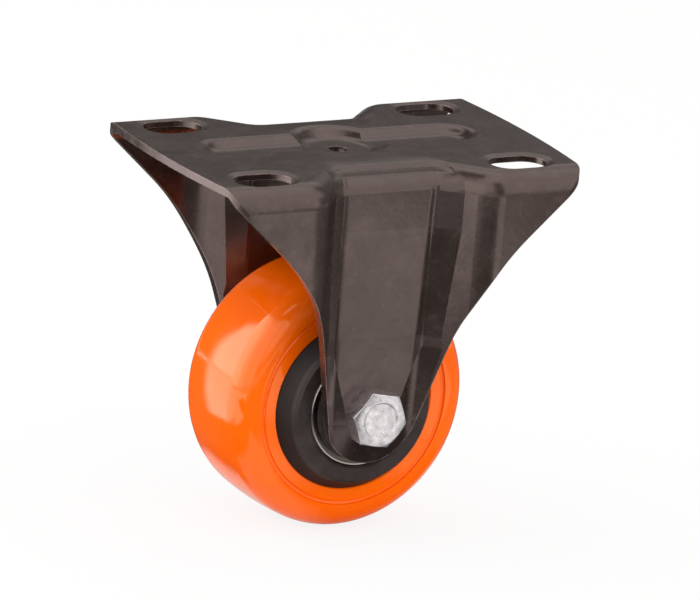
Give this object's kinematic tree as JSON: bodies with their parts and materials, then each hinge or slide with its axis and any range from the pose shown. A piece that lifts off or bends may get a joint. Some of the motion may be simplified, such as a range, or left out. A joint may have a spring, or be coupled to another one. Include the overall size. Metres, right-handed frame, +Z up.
{
  "type": "light duty fixed caster",
  "caption": "Fixed plate caster: a black pressed steel fork with slotted top plate carries a round orange treaded wheel on ball bearings and a hex bolt axle.",
  "frame": {"origin": "centre of the mounting plate's top face, where the four slots' pattern is centred", "axes": "+Z up out of the plate's top face, +X the way the wheel rolls and the plate's long way, +Y along the axle towards the nut"},
  "size_m": [0.077, 0.0528, 0.0726],
  "materials": {
    "fork_paint": "semi-gloss black paint on pressed steel",
    "tread_orange": "glossy orange moulded tread",
    "hub_black": "satin black moulded hub",
    "zinc": "bright zinc plated steel",
    "bearing_steel": "ground bearing steel",
    "seal_rubber": "black moulded rubber",
    "nylon": "natural nylon"
  },
  "bodies": {
    "fork": {"fork": "fork_paint", "axle_bolt": "zinc", "lock_nut": "zinc", "nut_insert": "nylon", "nut_washer": "zinc", "axle_sleeve": "zinc", "spacer_near": "zinc", "spacer_far": "zinc", "inner_ring_near": "bearing_steel", "inner_ring_far": "bearing_steel"},
    "wheel": {"hub": "hub_black", "tread": "tread_orange", "outer_ring_near": "bearing_steel", "outer_ring_far": "bearing_steel", "outer_seal_near": "seal_rubber", "outer_seal_far": "seal_rubber", "inner_seal_near": "seal_rubber", "inner_seal_far": "seal_rubber"},
    "ball_set_near": {"balls_near": "bearing_steel", "cage_near": "nylon"},
    "ball_set_far": {"balls_far": "bearing_steel", "cage_far": "nylon"}
  },
  "joints": [
    {"name": "wheel_spin", "type": "hinge", "parent": "fork", "child": "wheel", "pos_m": [0, 0, -0.0476], "axis": [0, 1, 0], "continuous": true},
    {"name": "ball_set_near_spin", "type": "hinge", "parent": "fork", "child": "ball_set_near", "pos_m": [0, 0, -0.0476], "axis": [0, 1, 0], "continuous": true},
    {"name": "ball_set_far_spin", "type": "hinge", "parent": "fork", "child": "ball_set_far", "pos_m": [0, 0, -0.0476], "axis": [0, 1, 0], "continuous": true}
  ],
  "couplings": [
    {"joint": "ball_set_near_spin", "follows": "wheel_spin", "ratio": 0.6323},
    {"joint": "ball_set_far_spin", "follows": "wheel_spin", "ratio": 0.6323}
  ]
}
